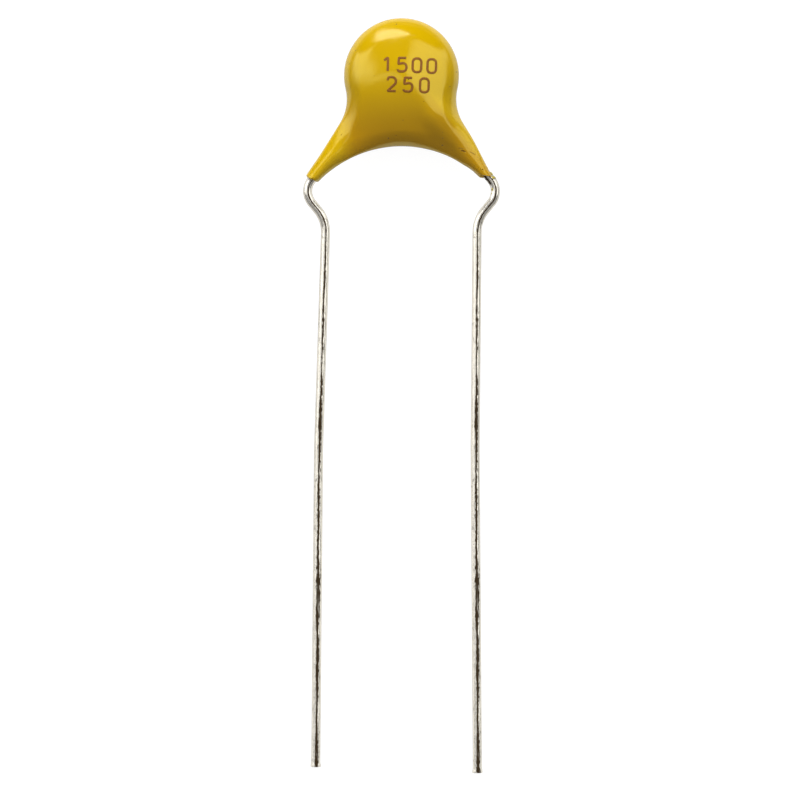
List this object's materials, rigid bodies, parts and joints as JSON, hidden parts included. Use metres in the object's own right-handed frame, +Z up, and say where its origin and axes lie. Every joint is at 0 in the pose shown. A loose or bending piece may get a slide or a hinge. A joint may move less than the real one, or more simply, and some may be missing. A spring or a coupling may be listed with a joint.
{
  "type": "ceramic disc capacitor",
  "caption": "Radial leaded ceramic disc capacitor: a domed disc dipped in epoxy that runs down two splayed legs, with kinked tinned wire leads for a wide board pitch.",
  "frame": {"origin": "middle of the underside of the whole part as it lies on its back, at the height of the surface", "axes": "+Y along the leads towards the disc, +X across the leads to the lead soldered on the upper face, +Z up from the surface"},
  "size_m": [0.013, 0.05, 0.0038],
  "materials": {
    "ceramic": "fired titanate ceramic, dense and matt, hidden inside the coating",
    "silver_layer": "fired silver, fine-grained and dull, hidden inside the coating",
    "solder": "bright tin solder, hidden inside the coating",
    "tinned_wire": "tinned steel wire, bright with small scuffs and dark creases",
    "epoxy": "glossy mustard yellow dipped epoxy with small pits"
  },
  "bodies": {
    "root": {"ceramic_disc": "ceramic", "front_electrode": "silver_layer", "back_electrode": "silver_layer", "front_solder": "solder", "back_solder": "solder", "right_lead": "tinned_wire", "left_lead": "tinned_wire", "epoxy_coating": "epoxy"}
  },
  "joints": []
}
